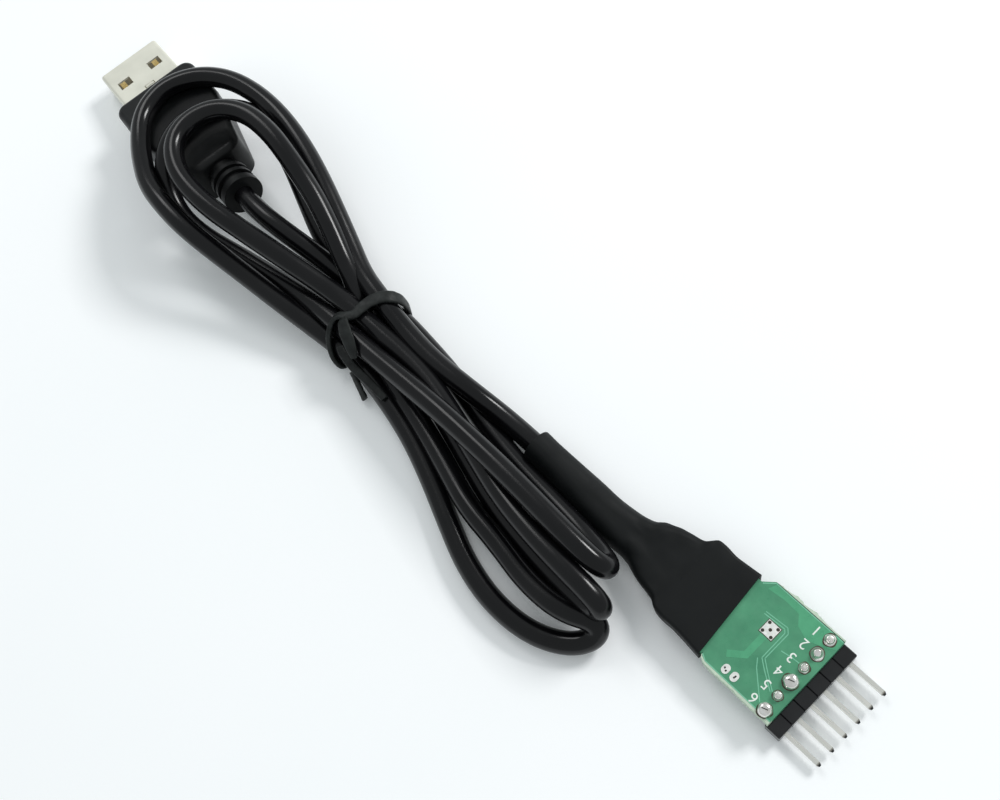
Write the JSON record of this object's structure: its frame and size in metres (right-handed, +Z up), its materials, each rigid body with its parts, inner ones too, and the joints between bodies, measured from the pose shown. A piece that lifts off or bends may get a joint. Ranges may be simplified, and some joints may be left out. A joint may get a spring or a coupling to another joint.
{
  "type": "usb to serial adapter module",
  "caption": "Small circuit board with a right-angle pin header and a shrink sleeve, on a thin cable tied in a hank that ends in a USB plug.",
  "frame": {"origin": "on the table, under the middle of the rigid module: the board, its header and its sleeve", "axes": "+X along the module towards the pin tips, +Y across the board, +Z up"},
  "size_m": [0.1683, 0.0345, 0.0166],
  "materials": {
    "pcb": "green solder mask over glass laminate",
    "tinned_pad": "tinned copper",
    "header_plastic": "moulded black plastic",
    "pin_tin": "tinned square wire",
    "solder": "solder, hand made joints",
    "chip_plastic": "moulded black epoxy",
    "lead_tin": "tinned leads",
    "can_steel": "stamped can",
    "capacitor_tan": "fired ceramic, tan",
    "cable_jacket": "smooth black vinyl jacket",
    "wire_red": "vinyl insulation",
    "wire_white": "vinyl insulation",
    "wire_green": "vinyl insulation",
    "wire_black": "vinyl insulation",
    "sleeve_plastic": "black heat shrink tube",
    "shell_nickel": "nickel plated sheet",
    "insulator_plastic": "moulded white plastic",
    "contact_gold": "gold plated contact",
    "grip_plastic": "moulded black vinyl",
    "tie_rubber": "black rubbery strap"
  },
  "bodies": {
    "root": {"board": "pcb", "via_pad": "tinned_pad", "link_pad_1": "tinned_pad", "link_pad_2": "tinned_pad", "header_housing": "header_plastic", "header_pin_1": "pin_tin", "header_pin_2": "pin_tin", "header_pin_3": "pin_tin", "header_pin_4": "pin_tin", "header_pin_5": "pin_tin", "header_pin_6": "pin_tin", "solder_joint_1": "solder", "solder_joint_2": "solder", "solder_joint_3": "solder", "solder_joint_4": "solder", "solder_joint_5": "solder", "solder_joint_6": "solder", "chip_body": "chip_plastic", "chip_leads_left": "lead_tin", "chip_leads_right": "lead_tin", "crystal_can": "can_steel", "capacitor_1": "capacitor_tan", "capacitor_2": "capacitor_tan", "capacitor_3": "capacitor_tan", "capacitor_4": "capacitor_tan", "cable_end": "cable_jacket", "wire_red": "wire_red", "wire_white": "wire_white", "wire_green": "wire_green", "wire_black": "wire_black", "wire_joint_1": "solder", "wire_joint_2": "solder", "wire_joint_3": "solder", "wire_joint_4": "solder", "heat_shrink_sleeve": "sleeve_plastic", "plug_shell": "shell_nickel", "plug_insulator": "insulator_plastic", "plug_contact_1": "contact_gold", "plug_contact_2": "contact_gold", "plug_contact_3": "contact_gold", "plug_contact_4": "contact_gold", "plug_grip": "grip_plastic", "cable_plug_side": "cable_jacket", "cable_module_side": "cable_jacket", "cable_hank": "cable_jacket", "cable_tie": "tie_rubber"}
  },
  "joints": []
}
